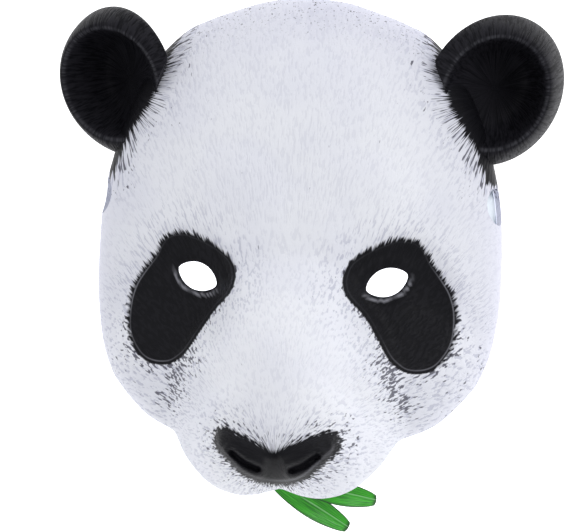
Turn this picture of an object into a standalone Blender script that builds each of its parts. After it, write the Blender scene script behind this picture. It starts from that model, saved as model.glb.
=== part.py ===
"""A moulded latex panda half mask, lying face up on its back rim.

The mask is a thin white shell with two eye holes, a muzzle that ends at the upper lip, a raised nose and a
round hole in each temple. A cupped ear sits on each side of the crown, two bamboo leaves hang out from under
the lip, and an elastic strap runs from temple to temple inside the shell.

Metres. +X is the viewer's right, +Y runs from the chin to the crown, +Z is the way the face looks.
Inside the script y = 0 is the eye line and z = 0 the plane of the back rim.
"""

import math

import bmesh
import bpy
import numpy as np
from mathutils import Matrix, Vector

# The head's main sizes
FACE_WIDTH = 0.2030
CROWN_RISE = 0.1415
LIP_DROP = 0.1056
DOME_DEPTH = 0.082
WALL = 0.0024
DOME_POWER = 2.3
BRIDGE_DROP = 0.030
CLEARANCE = 0.0003

# The relief of the face
MUZZLE_HALF_WIDTH = 0.060
MUZZLE_DROP = 0.072
MUZZLE_LENGTH_UP = 0.086
MUZZLE_LENGTH_DOWN = 0.046
MUZZLE_REACH = 0.038
NOSE_HALF_WIDTH = 0.030
NOSE_DROP = 0.0895
NOSE_HALF_HEIGHT = 0.0085
NOSE_WING_RISE = 0.0135
NOSE_RELIEF = 0.0050
NOSTRIL_OUT = 0.0142
NOSTRIL_DROP = 0.0865
NOSTRIL_HALF_LENGTH = 0.0090
NOSTRIL_HALF_WIDTH = 0.0060
NOSTRIL_SLANT = math.radians(32)
NOSTRIL_DEPTH = 0.0022

# The openings
EYE_OUT = 0.0469
EYE_HALF_LENGTH = 0.0107
EYE_HALF_HEIGHT = 0.0068
EYE_SLANT = math.radians(23)
TEMPLE_HOLE_DIAMETER = 0.0186
TEMPLE_HOLE_RISE = 0.038
TEMPLE_HOLE_HEIGHT = 0.050

# The ears
EAR_HALF_LENGTH = 0.0385
EAR_HALF_WIDTH = 0.0335
EAR_DEPTH = 0.030
EAR_INSIDE_TEMPLE = 0.0055
EAR_BELOW_CROWN = 0.047
EAR_LEAN = math.radians(27)
EAR_RIM_HEIGHT = 0.060
EAR_BASE_SLOPE = math.radians(40)

# The strap
STRAP_WIDTH = 0.020
STRAP_THICKNESS = 0.0015
STRAP_FLOOR_GAP = 0.001
STRAP_SLACK_GAP = 0.004
STRAP_TAIL = 0.016

# The leaves
LEAF_LOWER_LENGTH = 0.0430
LEAF_UPPER_LENGTH = 0.0375
LEAF_LOWER_WIDTH = 0.0122
LEAF_UPPER_WIDTH = 0.0118
LEAF_THICKNESS = 0.0010
LEAF_FOLD = math.radians(22)
LIP_ROLL = 0.0002

# How finely the surfaces are cut up
OUTLINE_STEP = 0.0115
RINGS = 23
EAR_SIDES = 30
EYE_SIDES = 24
HOLE_SIDES = 28
LEAF_STEPS = 10

# Half of the outline, from the crown down to the middle of the lip. out is a share of half the face's width, up
# a share of CROWN_RISE above the eye line, down a share of LIP_DROP under it. widest and rim are the heights of
# the widest point and of the back edge, as shares of DOME_DEPTH, and tuck is how far that edge lies inwards of
# the outline, as a share of the way to the bridge of the nose.
OUTLINE = (
    # out, up, down, widest, rim, tuck
    (0.000, 1.000, 0.000, 0.46, 0.00, 0.040),
    (0.190, 0.988, 0.000, 0.46, 0.00, 0.040),
    (0.366, 0.950, 0.000, 0.46, 0.00, 0.040),
    (0.490, 0.916, 0.000, 0.46, 0.00, 0.040),
    (0.614, 0.868, 0.000, 0.46, 0.00, 0.040),
    (0.767, 0.745, 0.000, 0.48, 0.00, 0.045),
    (0.880, 0.570, 0.000, 0.50, 0.00, 0.050),
    (0.956, 0.386, 0.000, 0.52, 0.00, 0.055),
    (0.990, 0.240, 0.000, 0.52, 0.00, 0.060),
    (1.000, 0.090, 0.000, 0.52, 0.00, 0.060),
    (0.998, 0.000, 0.060, 0.53, 0.00, 0.060),
    (0.983, 0.000, 0.197, 0.55, 0.00, 0.065),
    (0.955, 0.000, 0.335, 0.58, 0.00, 0.070),
    (0.901, 0.000, 0.464, 0.62, 0.00, 0.075),
    (0.842, 0.000, 0.540, 0.65, 0.00, 0.080),
    (0.780, 0.000, 0.604, 0.67, 0.00, 0.080),
    (0.713, 0.000, 0.660, 0.70, 0.00, 0.075),
    (0.648, 0.000, 0.694, 0.74, 0.03, 0.065),
    (0.594, 0.000, 0.713, 0.80, 0.15, 0.050),
    (0.550, 0.000, 0.732, 0.87, 0.38, 0.030),
    (0.520, 0.000, 0.766, 0.94, 0.60, 0.015),
    (0.490, 0.000, 0.812, 0.99, 0.76, 0.005),
    (0.452, 0.000, 0.860, 1.02, 0.87, 0.000),
    (0.405, 0.000, 0.908, 1.04, 0.93, 0.000),
    (0.352, 0.000, 0.949, 1.06, 0.96, 0.000),
    (0.287, 0.000, 0.981, 1.07, 0.96, 0.000),
    (0.220, 0.000, 0.997, 1.08, 0.96, 0.000),
    (0.165, 0.000, 1.000, 1.08, 0.96, 0.000),
    (0.100, 0.000, 0.991, 1.08, 0.96, 0.000),
    (0.040, 0.000, 0.973, 1.08, 0.96, 0.000),
    (0.000, 0.000, 0.963, 1.08, 0.96, 0.000),
)
LIP_HEIGHT = OUTLINE[-1][4] * DOME_DEPTH

# Smooth swellings and hollows of the face, mirrored to both sides. out is a share of half the face's width,
# up a share of CROWN_RISE, reach_out and reach_up are half sizes as the same shares, height a share of
# DOME_DEPTH.
SWELLINGS = (
    # out, up, reach_out, reach_up, height
    (0.00, 0.46, 0.70, 0.50, 0.045),
    (0.34, 0.26, 0.36, 0.22, 0.022),
    (0.00, -0.05, 0.40, 0.40, 0.040),
    (0.52, -0.07, 0.32, 0.27, -0.085),
    (0.64, -0.30, 0.32, 0.24, 0.050),
    (0.25, -0.64, 0.22, 0.13, 0.045),
    (0.00, -0.68, 0.06, 0.13, -0.045),
)

# The section of an ear, from the middle of its dish over the rim to the middle of its back. out is a share
# of the ear's half size, up a share of EAR_DEPTH.
EAR_SECTION = (
    # out, up
    (0.00, 0.13),
    (0.28, 0.15),
    (0.48, 0.25),
    (0.60, 0.46),
    (0.67, 0.72),
    (0.71, 0.93),
    (0.76, 1.00),
    (0.83, 0.96),
    (0.93, 0.79),
    (1.00, 0.54),
    (0.96, 0.29),
    (0.80, 0.11),
    (0.45, 0.02),
    (0.00, 0.00),
)

# Each ear: the side it is on, how far its dish turns outwards and how far down.
EARS = {
    # node: side, outward turn, downward turn
    "ear_left": (-1, math.radians(13), math.radians(10)),
    "ear_right": (1, math.radians(3), math.radians(10)),
}

# Each leaf. out and down are its root's place as shares of half the face's width and of LIP_DROP.
LEAVES = {
    # node: length, width, lean from +X, out, down, pitch towards the floor
    "leaf_lower": (LEAF_LOWER_LENGTH, LEAF_LOWER_WIDTH, math.radians(-31), -0.041, 0.943, math.radians(14)),
    "leaf_upper": (LEAF_UPPER_LENGTH, LEAF_UPPER_WIDTH, math.radians(-10), 0.090, 0.953, math.radians(13)),
}

TRIM_DEPTH = 0.004
WIDEST_RING = 0.75
HALF_FACE = FACE_WIDTH / 2
MIRROR = np.array([-1, 1, 1, 1, 1])


def clear_scene():
    for obj in list(bpy.data.objects):
        bpy.data.objects.remove(obj, do_unlink=True)


def material(name, colour, roughness):
    made = bpy.data.materials.new(name)
    made.use_nodes = True
    shader = made.node_tree.nodes["Principled BSDF"]
    shader.inputs["Base Color"].default_value = (*colour, 1.0)
    shader.inputs["Roughness"].default_value = roughness
    shader.inputs["Metallic"].default_value = 0.0
    return made


def object_of(name, bm, finish):
    """The bmesh as a smooth-shaded object of its own, with its faces pointing outwards."""
    mesh = bpy.data.meshes.new(name)
    bm.to_mesh(mesh)
    bm.free()
    mesh.shade_smooth()
    mesh.set_sharp_from_angle(angle=math.radians(40))
    if finish:
        mesh.materials.append(finish)
    obj = bpy.data.objects.new(name, mesh)
    bpy.context.collection.objects.link(obj)
    return obj


def as_cutter(obj):
    obj.hide_render = True
    obj.display_type = "WIRE"
    return obj


def cut(obj, cutter):
    modifier = obj.modifiers.new("cut_" + cutter.name, "BOOLEAN")
    modifier.operation = "DIFFERENCE"
    modifier.solver = "EXACT"
    modifier.object = cutter


def half_rim():
    """Points round the face from the crown to the lip: a smooth curve through OUTLINE.

    Each is a row of x, y, the height of the widest point, the height of the back edge and its tuck.
    """
    rows = np.array(
        [
            (
                out * HALF_FACE,
                up * CROWN_RISE - down * LIP_DROP,
                widest * DOME_DEPTH,
                rim * DOME_DEPTH - TRIM_DEPTH * (rim == 0),
                tuck,
            )
            for out, up, down, widest, rim, tuck in OUTLINE
        ]
    )
    mirrored = rows * MIRROR
    padded = np.vstack([mirrored[1], rows, mirrored[-2]])
    points = []
    for k in range(1, len(padded) - 2):
        a, b, c, d = padded[k - 1 : k + 3]
        pieces = max(1, math.ceil(np.linalg.norm((c - b)[:3]) / OUTLINE_STEP))
        for t in np.arange(pieces) / pieces:
            bend = (2 * a - 5 * b + 4 * c - d) * t * t + (3 * b - a - 3 * c + d) * t**3
            points.append(b + 0.5 * ((c - a) * t + bend))
    points.append(rows[-1])
    return np.array(points)


def whole_rim():
    """The closed outline, once round from the crown down the right side, past the lip and up the left side."""
    half = half_rim()
    return np.vstack([half, (half * MIRROR)[-2:0:-1]])


def bell(distance):
    """1 at the middle, falling smoothly to 0 at a distance of 1."""
    near = np.clip(1 - distance**2, 0, None)
    return near**2 * (3 - 2 * near)


def nose_inside(x, y):
    """How far inside the nose's outline a point lies: 1 on its middle line, 0 on its edge, less outside."""
    middle = -NOSE_DROP + NOSE_WING_RISE * (np.abs(x) / NOSE_HALF_WIDTH) ** 1.2
    across = np.abs((y - middle) / NOSE_HALF_HEIGHT) ** 2.4
    return 1 - (np.abs(x) / NOSE_HALF_WIDTH) ** 5 - across


def relief(x, y):
    """How far the face's forms stand in front of the plain dome."""
    up = y / CROWN_RISE
    out = np.abs(x) / HALF_FACE
    height = np.zeros_like(x)
    for row_out, row_up, reach_out, reach_up, share in SWELLINGS:
        distance = np.hypot((out - row_out) / reach_out, (up - row_up) / reach_up)
        height += share * DOME_DEPTH * bell(distance)
    below = np.where(y < -MUZZLE_DROP, MUZZLE_LENGTH_DOWN, MUZZLE_LENGTH_UP)
    muzzle = 1 - (x / MUZZLE_HALF_WIDTH) ** 2 - ((y + MUZZLE_DROP) / below) ** 2
    height += MUZZLE_REACH * np.clip(muzzle, 0, None) ** 1.3
    height += NOSE_RELIEF * bell(1 - np.clip(nose_inside(x, y), 0, 1))
    along_x = np.cos(NOSTRIL_SLANT) * (np.abs(x) - NOSTRIL_OUT) + np.sin(NOSTRIL_SLANT) * (y + NOSTRIL_DROP)
    across_y = np.cos(NOSTRIL_SLANT) * (y + NOSTRIL_DROP) - np.sin(NOSTRIL_SLANT) * (np.abs(x) - NOSTRIL_OUT)
    slot = np.hypot(along_x / NOSTRIL_HALF_LENGTH, across_y / NOSTRIL_HALF_WIDTH)
    return height - NOSTRIL_DEPTH * bell(slot)


def skin(rim, rings, lift=0.0):
    """The outer surface as points[ray, ring]: rays run from the bridge of the nose over the widest point to
    the back edge. lift moves every point out along the surface, or inwards where it is negative.
    """
    over = np.linspace(0, 1, rings + 1) / WIDEST_RING
    quarter = np.clip(over, 0, 1) * math.pi / 2
    spread = np.sin(quarter) ** (2 / DOME_POWER)
    fall = np.clip(np.cos(quarter), 0, None) ** (2 / DOME_POWER)
    hold = np.clip(1 - spread**8, 0, None) ** 0.4
    under = np.clip((over - 1) / (1 / WIDEST_RING - 1), 0, 1)
    centre = np.array([0.0, -BRIDGE_DROP])
    inward = spread[None, :] - rim[:, 4:5] * under[None, :] ** 2
    flat = centre + (rim[:, None, :2] - centre) * inward[..., None]
    x, y = flat[..., 0], flat[..., 1]
    widest, edge = rim[:, 2:3], rim[:, 3:4]
    z = widest + (DOME_DEPTH - widest) * fall[None, :] + (edge - widest) * under[None, :]
    z = z + relief(x, y) * hold[None, :]
    points = np.stack([x, y, z], axis=-1)
    return points + normals(points) * lift if lift else points


def normals(points):
    """Unit normals of a grid of points that closes on itself along its first axis, pointing out of the face."""
    along = np.roll(points, -1, axis=0) - np.roll(points, 1, axis=0)
    out = np.gradient(points, axis=1)
    normal = np.cross(out, along)
    normal[:, 0] = (0, 0, 1)
    size = np.linalg.norm(normal, axis=-1, keepdims=True)
    normal = normal / np.where(size > 0, size, 1)
    return normal * np.where(normal[:, 1:2, 2:3] < 0, -1, 1)


def skin_bmesh(points):
    """A sheet of faces over the points, made from a grid whose ends and middle are merged."""
    around, rings = points.shape[0], points.shape[1] - 1
    bm = bmesh.new()
    bmesh.ops.create_grid(bm, x_segments=around, y_segments=rings, size=1.0)
    for vert in bm.verts:
        ray = round((vert.co.x + 1) / 2 * around) % around
        ring = round((vert.co.y + 1) / 2 * rings)
        vert.co = points[ray, ring]
    bmesh.ops.remove_doubles(bm, verts=bm.verts, dist=1e-6)
    bmesh.ops.recalc_face_normals(bm, faces=bm.faces)
    if sum(face.normal.z * face.calc_area() for face in bm.faces) < 0:
        bmesh.ops.reverse_faces(bm, faces=bm.faces)
    return bm


def box(name, low, high):
    bm = bmesh.new()
    bmesh.ops.create_cube(bm, size=1.0)
    bmesh.ops.scale(bm, verts=bm.verts, vec=Vector(high) - Vector(low))
    bmesh.ops.translate(bm, verts=bm.verts, vec=(Vector(high) + Vector(low)) / 2)
    return as_cutter(object_of(name, bm, None))


def eye_cutter(side):
    """A prism with an almond section, its inner corner lower, through the wall of the face."""
    bm = bmesh.new()
    corners = []
    for angle in np.arange(EYE_SIDES) * math.tau / EYE_SIDES:
        along = EYE_HALF_LENGTH * math.cos(angle)
        across = EYE_HALF_HEIGHT * math.sin(angle) * (0.55 + 0.45 * abs(math.sin(angle)))
        turned_x = along * math.cos(EYE_SLANT) - across * math.sin(EYE_SLANT)
        turned_y = along * math.sin(EYE_SLANT) + across * math.cos(EYE_SLANT)
        corners.append(bm.verts.new((side * (EYE_OUT + turned_x), turned_y, DOME_DEPTH / 3)))
    face = bm.faces.new(corners)
    pulled = bmesh.ops.extrude_face_region(bm, geom=[face])
    moved = [part for part in pulled["geom"] if isinstance(part, bmesh.types.BMVert)]
    bmesh.ops.translate(bm, verts=moved, vec=(0, 0, DOME_DEPTH))
    bmesh.ops.recalc_face_normals(bm, faces=bm.faces)
    name = "eye_cutter_right" if side > 0 else "eye_cutter_left"
    return as_cutter(object_of(name, bm, None))


def temple_spot(rim, side):
    """Where the middle of a temple's hole lies on the skin, and the way the wall faces there."""
    points = skin(rim, 200)
    facing = normals(points)
    off = np.abs(points[..., 1] - TEMPLE_HOLE_RISE) + np.abs(points[..., 2] - TEMPLE_HOLE_HEIGHT)
    off[points[..., 0] * side < HALF_FACE / 2] = 1
    spot = np.unravel_index(np.argmin(off), off.shape)
    return Vector(points[spot]), Vector(facing[spot])


def temple_cutter(rim, side):
    middle, facing = temple_spot(rim, side)
    bm = bmesh.new()
    turn = facing.to_track_quat("Z", "Y").to_matrix().to_4x4()
    bmesh.ops.create_cone(
        bm,
        cap_ends=True,
        segments=HOLE_SIDES,
        radius1=TEMPLE_HOLE_DIAMETER / 2,
        radius2=TEMPLE_HOLE_DIAMETER / 2,
        depth=8 * WALL,
        matrix=Matrix.Translation(middle) @ turn,
    )
    name = "temple_cutter_right" if side > 0 else "temple_cutter_left"
    return as_cutter(object_of(name, bm, None))


def face_shell(rim, finish):
    """The white shell: the skin given its wall, trimmed flat at the back, with its four holes cut through."""
    shell = object_of("face_shell", skin_bmesh(skin(rim, RINGS)), finish)
    wall = shell.modifiers.new("wall", "SOLIDIFY")
    wall.thickness = WALL
    wall.offset = -1
    wall.use_even_offset = True
    wall.use_quality_normals = True
    reach = 2 * CROWN_RISE
    cut(shell, box("rim_cutter", (-reach, -reach, -reach), (reach, reach, 0)))
    for side in (-1, 1):
        cut(shell, eye_cutter(side))
        cut(shell, temple_cutter(rim, side))
    return shell


def head_cutter(rim):
    """The space the head fills, with the clearance round it, to cut the ears to their seats."""
    bm = skin_bmesh(skin(rim, RINGS, lift=CLEARANCE))
    edges = [edge for edge in bm.edges if edge.is_boundary]
    pulled = bmesh.ops.extrude_edge_only(bm, edges=edges)
    low = [part for part in pulled["geom"] if isinstance(part, bmesh.types.BMVert)]
    for vert in low:
        vert.co.z = -2 * TRIM_DEPTH
    bmesh.ops.holes_fill(bm, edges=[edge for edge in bm.edges if edge.is_boundary], sides=0)
    bmesh.ops.recalc_face_normals(bm, faces=bm.faces)
    return as_cutter(object_of("head_cutter", bm, None))


def ear(name, cutter, finish):
    """A cupped ear, spun round from its section, its base sloped like the shoulder of the head, turned to its
    place and cut to the head.
    """
    side, outward, downward = EARS[name]
    bm = bmesh.new()
    verts = [bm.verts.new((out, 0, (up - 1) * EAR_DEPTH)) for out, up in EAR_SECTION]
    edges = [bm.edges.new(pair) for pair in zip(verts, verts[1:])]
    bmesh.ops.spin(
        bm, geom=verts + edges, axis=(0, 0, 1), cent=(0, 0, 0), angle=math.tau, steps=EAR_SIDES, use_merge=True
    )
    bmesh.ops.remove_doubles(bm, verts=bm.verts, dist=1e-6)
    bmesh.ops.recalc_face_normals(bm, faces=bm.faces)
    bmesh.ops.scale(bm, verts=bm.verts, vec=(EAR_HALF_WIDTH, EAR_HALF_LENGTH, 1))
    bmesh.ops.rotate(bm, verts=bm.verts, matrix=Matrix.Rotation(-side * EAR_LEAN, 3, "Z"))
    for vert in bm.verts:
        vert.co.z += side * vert.co.x * math.tan(EAR_BASE_SLOPE) * vert.co.z / EAR_DEPTH
    turn = Matrix.Rotation(side * outward, 4, "Y") @ Matrix.Rotation(downward, 4, "X")
    place = (side * (HALF_FACE - EAR_INSIDE_TEMPLE), CROWN_RISE - EAR_BELOW_CROWN, EAR_RIM_HEIGHT)
    bmesh.ops.transform(bm, verts=bm.verts, matrix=Matrix.Translation(place) @ turn)
    made = object_of(name, bm, finish)
    cut(made, cutter)
    return made


def wall_line(ray, gap, low, high):
    """Points of the band's inner and outer faces at one ray: low and high are heights over the rim plane."""
    heights = ray[::-1, 2]
    line = [np.array([np.interp(z, heights, ray[::-1, k]) for k in range(3)]) for z in (low, high)]
    inwards = -line[0][:2] / np.linalg.norm(line[0][:2])
    shift = np.array([inwards[0], inwards[1], 0]) * gap
    return [point + shift for point in line]


def strap(rim, finish):
    """A flat elastic band on its edge round the inside of the crown, its ends flat behind the temple holes."""
    outer = skin(rim, 120, lift=-(WALL + CLEARANCE))
    inner = skin(rim, 120, lift=-(WALL + CLEARANCE + STRAP_THICKNESS))
    above = [k for k in range(len(rim)) if rim[k, 1] > TEMPLE_HOLE_RISE - STRAP_TAIL]
    start = next(k for k in above if k - 1 not in above and k > 0)
    order = [k % len(rim) for k in range(start, start + len(above))]
    bm = bmesh.new()
    last = None
    for k in order:
        past = (rim[k, 1] - TEMPLE_HOLE_RISE - STRAP_WIDTH / 2) / (CROWN_RISE / 3)
        ease = min(max(past, 0), 1)
        ease = ease * ease * (3 - 2 * ease)
        top_low = TEMPLE_HOLE_HEIGHT - STRAP_WIDTH / 2
        low = top_low + (STRAP_FLOOR_GAP - top_low) * ease
        gap = STRAP_SLACK_GAP * ease
        out_low, out_high = wall_line(outer[k], gap, low, low + STRAP_WIDTH)
        in_low, in_high = wall_line(inner[k], gap, low, low + STRAP_WIDTH)
        ring = [bm.verts.new(point) for point in (out_low, out_high, in_high, in_low)]
        if last:
            for m in range(4):
                bm.faces.new((last[m], last[(m + 1) % 4], ring[(m + 1) % 4], ring[m]))
        else:
            bm.faces.new(ring)
        last = ring
    bm.faces.new(last)
    bmesh.ops.recalc_face_normals(bm, faces=bm.faces)
    return object_of("strap", bm, finish)


def leaf(name, finish):
    """A thin blunt blade folded along its midrib, the top of its root held to the lip's lower edge."""
    length, width, lean, out, down, pitch = LEAVES[name]
    bm = bmesh.new()
    bmesh.ops.create_grid(bm, x_segments=LEAF_STEPS, y_segments=2, size=0.5)
    for vert in bm.verts:
        along = vert.co.x + 0.5
        across = vert.co.y * width * math.sin(math.pi * (0.12 + 0.78 * along)) ** 0.7
        fold = math.tan(LEAF_FOLD) * min(1, max(0, 2.5 * along - 0.6))
        vert.co = (along * length, across, abs(across) * fold)
    bmesh.ops.solidify(bm, geom=bm.faces[:], thickness=LEAF_THICKNESS)
    bmesh.ops.recalc_face_normals(bm, faces=bm.faces)
    root_top = max(vert.co.z for vert in bm.verts if vert.co.x < length / LEAF_STEPS)
    root = Vector((out * HALF_FACE, -down * LIP_DROP, LIP_HEIGHT - CLEARANCE - LIP_ROLL - root_top))
    turn = Matrix.Rotation(lean, 4, "Z") @ Matrix.Rotation(pitch, 4, "Y")
    bmesh.ops.transform(bm, verts=bm.verts, matrix=Matrix.Translation(root) @ turn)
    return object_of(name, bm, finish)


def centre_on_origin(objects):
    """Moves everything so that the middle of the mask's box stands over the origin."""
    graph = bpy.context.evaluated_depsgraph_get()
    corners = []
    for obj in objects:
        mesh = obj.evaluated_get(graph).to_mesh()
        corners += [obj.matrix_world @ vert.co for vert in mesh.vertices]
    low = Vector(map(min, zip(*corners)))
    high = Vector(map(max, zip(*corners)))
    for obj in bpy.data.objects:
        obj.location -= Vector(((low.x + high.x) / 2, (low.y + high.y) / 2, 0))


def main():
    clear_scene()
    white = material("white_latex", (0.86, 0.87, 0.90), 0.55)
    black = material("black_latex", (0.02, 0.02, 0.024), 0.40)
    green = material("green_leaf", (0.03, 0.26, 0.02), 0.30)
    elastic = material("white_elastic", (0.84, 0.88, 0.93), 0.80)
    rim = whole_rim()
    shell = face_shell(rim, white)
    cutter = head_cutter(rim)
    pieces = [shell, strap(rim, elastic)]
    pieces += [ear(name, cutter, black) for name in EARS]
    pieces += [leaf(name, green) for name in LEAVES]
    bpy.context.view_layer.update()
    centre_on_origin(pieces)


main()
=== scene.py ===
"""Dresses the moulded latex panda half mask: the painted, hair-grooved skin, the cupped ears, the bamboo
leaves, the elastic strap, and a plain studio stage.

Metres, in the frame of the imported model: +X is the viewer's right, +Y runs from the chin to the crown and +Z is
the way the face looks. Face coordinates have their zero on the middle line, at the eye line, on the rim plane.
"""

import math

import bmesh
import bpy
import numpy as np
from mathutils import Matrix, Vector


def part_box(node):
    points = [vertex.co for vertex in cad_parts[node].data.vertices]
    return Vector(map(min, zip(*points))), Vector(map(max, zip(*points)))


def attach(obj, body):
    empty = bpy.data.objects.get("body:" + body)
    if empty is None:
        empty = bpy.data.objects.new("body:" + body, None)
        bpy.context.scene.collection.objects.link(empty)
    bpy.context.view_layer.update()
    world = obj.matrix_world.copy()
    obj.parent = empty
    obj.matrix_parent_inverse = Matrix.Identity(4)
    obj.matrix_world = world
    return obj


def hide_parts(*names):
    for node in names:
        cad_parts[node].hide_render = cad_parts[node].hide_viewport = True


bl_info = {
    "name": "Panda half mask",
    "version": (1, 0, 0),
    "blender": (4, 5, 0),
    "location": "3D View > Sidebar > Mask",
    "description": "Dresses the latex panda half mask and sets its plain studio stage",
    "category": "Object",
}

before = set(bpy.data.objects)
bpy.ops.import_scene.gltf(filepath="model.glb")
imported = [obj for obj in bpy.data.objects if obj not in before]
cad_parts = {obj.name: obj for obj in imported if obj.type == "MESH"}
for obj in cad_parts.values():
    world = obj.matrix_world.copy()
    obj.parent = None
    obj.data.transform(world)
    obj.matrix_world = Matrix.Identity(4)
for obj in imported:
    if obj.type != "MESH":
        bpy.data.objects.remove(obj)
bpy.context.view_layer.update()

# The head's main sizes
FACE_WIDTH = 0.2030
CROWN_RISE = 0.1415
LIP_DROP = 0.1056
DOME_DEPTH = 0.082
WALL = 0.0024
DOME_POWER = 2.3
BRIDGE_DROP = 0.030
TRIM_DEPTH = 0.004
WIDEST_RING = 0.75
CLEARANCE = 0.0003
EAR_SINK = 0.0006
HALF_FACE = FACE_WIDTH / 2
MIRROR = np.array([-1, 1, 1, 1, 1])

# The forms of the face
MUZZLE_HALF_WIDTH = 0.060
MUZZLE_DROP = 0.072
MUZZLE_LENGTH_UP = 0.086
MUZZLE_LENGTH_DOWN = 0.046
MUZZLE_REACH = 0.038
NOSE_RELIEF = 0.0040
NOSE_SLOPE = 0.0045
NOSTRIL_DEPTH = 0.0038
NOSTRIL_HALF_WIDTH = 0.0019
EYE_OUT = 0.0469
EYE_HALF_LENGTH = 0.0107
EYE_HALF_HEIGHT = 0.0068
EYE_SLANT = math.radians(23)
LID_WIDTH = 0.0012
LID_HEIGHT = 0.0009
PATCH_RECESS = 0.0005
TEMPLE_HOLE_DIAMETER = 0.0186
TEMPLE_HOLE_RISE = 0.038
TEMPLE_HOLE_HEIGHT = 0.050

# The ears
EAR_HALF_LENGTH = 0.0385
EAR_HALF_WIDTH = 0.0335
EAR_DEPTH = 0.030
EAR_INSIDE_TEMPLE = 0.0055
EAR_BELOW_CROWN = 0.047
EAR_LEAN = math.radians(27)
EAR_RIM_HEIGHT = 0.060
EAR_BASE_SLOPE = math.radians(40)
EARS = {
    # node: side, outward turn, downward turn
    "ear_left": (-1, math.radians(13), math.radians(10)),
    "ear_right": (1, math.radians(3), math.radians(10)),
}

# The leaves
LIP_ROLL = 0.0002
LEAF_THICKNESS = 0.0010
LEAF_FOLD = math.radians(22)
LEAVES = {
    # node: length, width, lean from +X, root out, root down, pitch towards the floor
    "leaf_lower": (0.0430, 0.0122, math.radians(-31), -0.041, 0.943, math.radians(14)),
    "leaf_upper": (0.0375, 0.0118, math.radians(-10), 0.090, 0.953, math.radians(13)),
}

# How finely the surfaces are cut up
UPPER_STEP = 0.0034
LOWER_STEP = 0.0013
RINGS = 132
INNER_RINGS = 44
EAR_SIDES = 128

# Half of the outline, from the crown to the middle of the lip, as shares of the named sizes.
OUTLINE = (
    # out, up, down, widest, rim, tuck
    (0.000, 1.000, 0.000, 0.46, 0.00, 0.040),
    (0.190, 0.988, 0.000, 0.46, 0.00, 0.040),
    (0.366, 0.950, 0.000, 0.46, 0.00, 0.040),
    (0.490, 0.916, 0.000, 0.46, 0.00, 0.040),
    (0.614, 0.868, 0.000, 0.46, 0.00, 0.040),
    (0.767, 0.745, 0.000, 0.48, 0.00, 0.045),
    (0.880, 0.570, 0.000, 0.50, 0.00, 0.050),
    (0.956, 0.386, 0.000, 0.52, 0.00, 0.055),
    (0.990, 0.240, 0.000, 0.52, 0.00, 0.060),
    (1.000, 0.090, 0.000, 0.52, 0.00, 0.060),
    (0.998, 0.000, 0.060, 0.53, 0.00, 0.060),
    (0.983, 0.000, 0.197, 0.55, 0.00, 0.065),
    (0.955, 0.000, 0.335, 0.58, 0.00, 0.070),
    (0.901, 0.000, 0.464, 0.62, 0.00, 0.075),
    (0.842, 0.000, 0.540, 0.65, 0.00, 0.080),
    (0.780, 0.000, 0.604, 0.67, 0.00, 0.080),
    (0.713, 0.000, 0.660, 0.70, 0.00, 0.075),
    (0.648, 0.000, 0.694, 0.74, 0.03, 0.065),
    (0.594, 0.000, 0.713, 0.80, 0.15, 0.050),
    (0.550, 0.000, 0.732, 0.87, 0.38, 0.030),
    (0.520, 0.000, 0.766, 0.94, 0.60, 0.015),
    (0.490, 0.000, 0.812, 0.99, 0.76, 0.005),
    (0.452, 0.000, 0.860, 1.02, 0.87, 0.000),
    (0.405, 0.000, 0.908, 1.04, 0.93, 0.000),
    (0.352, 0.000, 0.949, 1.06, 0.96, 0.000),
    (0.287, 0.000, 0.981, 1.07, 0.96, 0.000),
    (0.220, 0.000, 0.997, 1.08, 0.96, 0.000),
    (0.165, 0.000, 1.000, 1.08, 0.96, 0.000),
    (0.100, 0.000, 0.991, 1.08, 0.96, 0.000),
    (0.040, 0.000, 0.973, 1.08, 0.96, 0.000),
    (0.000, 0.000, 0.963, 1.08, 0.96, 0.000),
)
LIP_HEIGHT = OUTLINE[-1][4] * DOME_DEPTH

# Smooth swellings and hollows of the face, mirrored to both sides, as shares of the named sizes.
SWELLINGS = (
    # out, up, reach_out, reach_up, height
    (0.00, 0.46, 0.70, 0.50, 0.045),
    (0.34, 0.26, 0.36, 0.22, 0.022),
    (0.00, -0.05, 0.40, 0.40, 0.040),
    (0.52, -0.07, 0.32, 0.27, -0.085),
    (0.64, -0.30, 0.32, 0.24, 0.050),
    (0.25, -0.64, 0.22, 0.13, 0.045),
    (0.00, -0.68, 0.06, 0.13, -0.045),
)

# The section of an ear, from the middle of its dish over the rim to the middle of its back.
EAR_SECTION = (
    # out, up
    (0.00, 0.13),
    (0.28, 0.15),
    (0.48, 0.25),
    (0.60, 0.46),
    (0.67, 0.72),
    (0.71, 0.93),
    (0.76, 1.00),
    (0.83, 0.96),
    (0.93, 0.79),
    (1.00, 0.54),
    (0.96, 0.29),
    (0.80, 0.11),
    (0.45, 0.02),
    (0.00, 0.00),
)

# Outlines of the painted areas on the right side of the face, in millimetres from the middle of the eye line.
PATCH_OUTLINE = (
    # out, up
    (54, 22), (62, 20.4), (66.5, 15.5), (69, 10.5), (75, 2.5), (79, -4), (81.5, -12), (82, -21), (81, -29),
    (77.5, -36), (72.5, -41.5), (66, -44), (58.5, -43.8), (53.5, -41), (49, -36.5), (43, -26.5), (36.5, -16.5),
    (29.5, -9), (26.5, -3), (26.4, 2.5), (28.3, 8), (31.5, 11.6), (37, 15.5), (43, 18.5), (48, 20.5),
)
NOSE_HALF_OUTLINE = (
    # out, up
    (0, -81.4), (3.4, -80), (8, -77.3), (13.5, -75), (18, -73), (23.5, -71.2), (26, -71), (29.4, -72.4),
    (30.6, -77.2), (29.5, -81.8), (24.4, -86.8), (20, -91.1), (15.5, -95), (9.2, -98.1), (0, -99.7),
)
NOSTRIL_LINE = ((20.4, -83.3), (14.2, -87.9), (8.3, -90.5))
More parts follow.
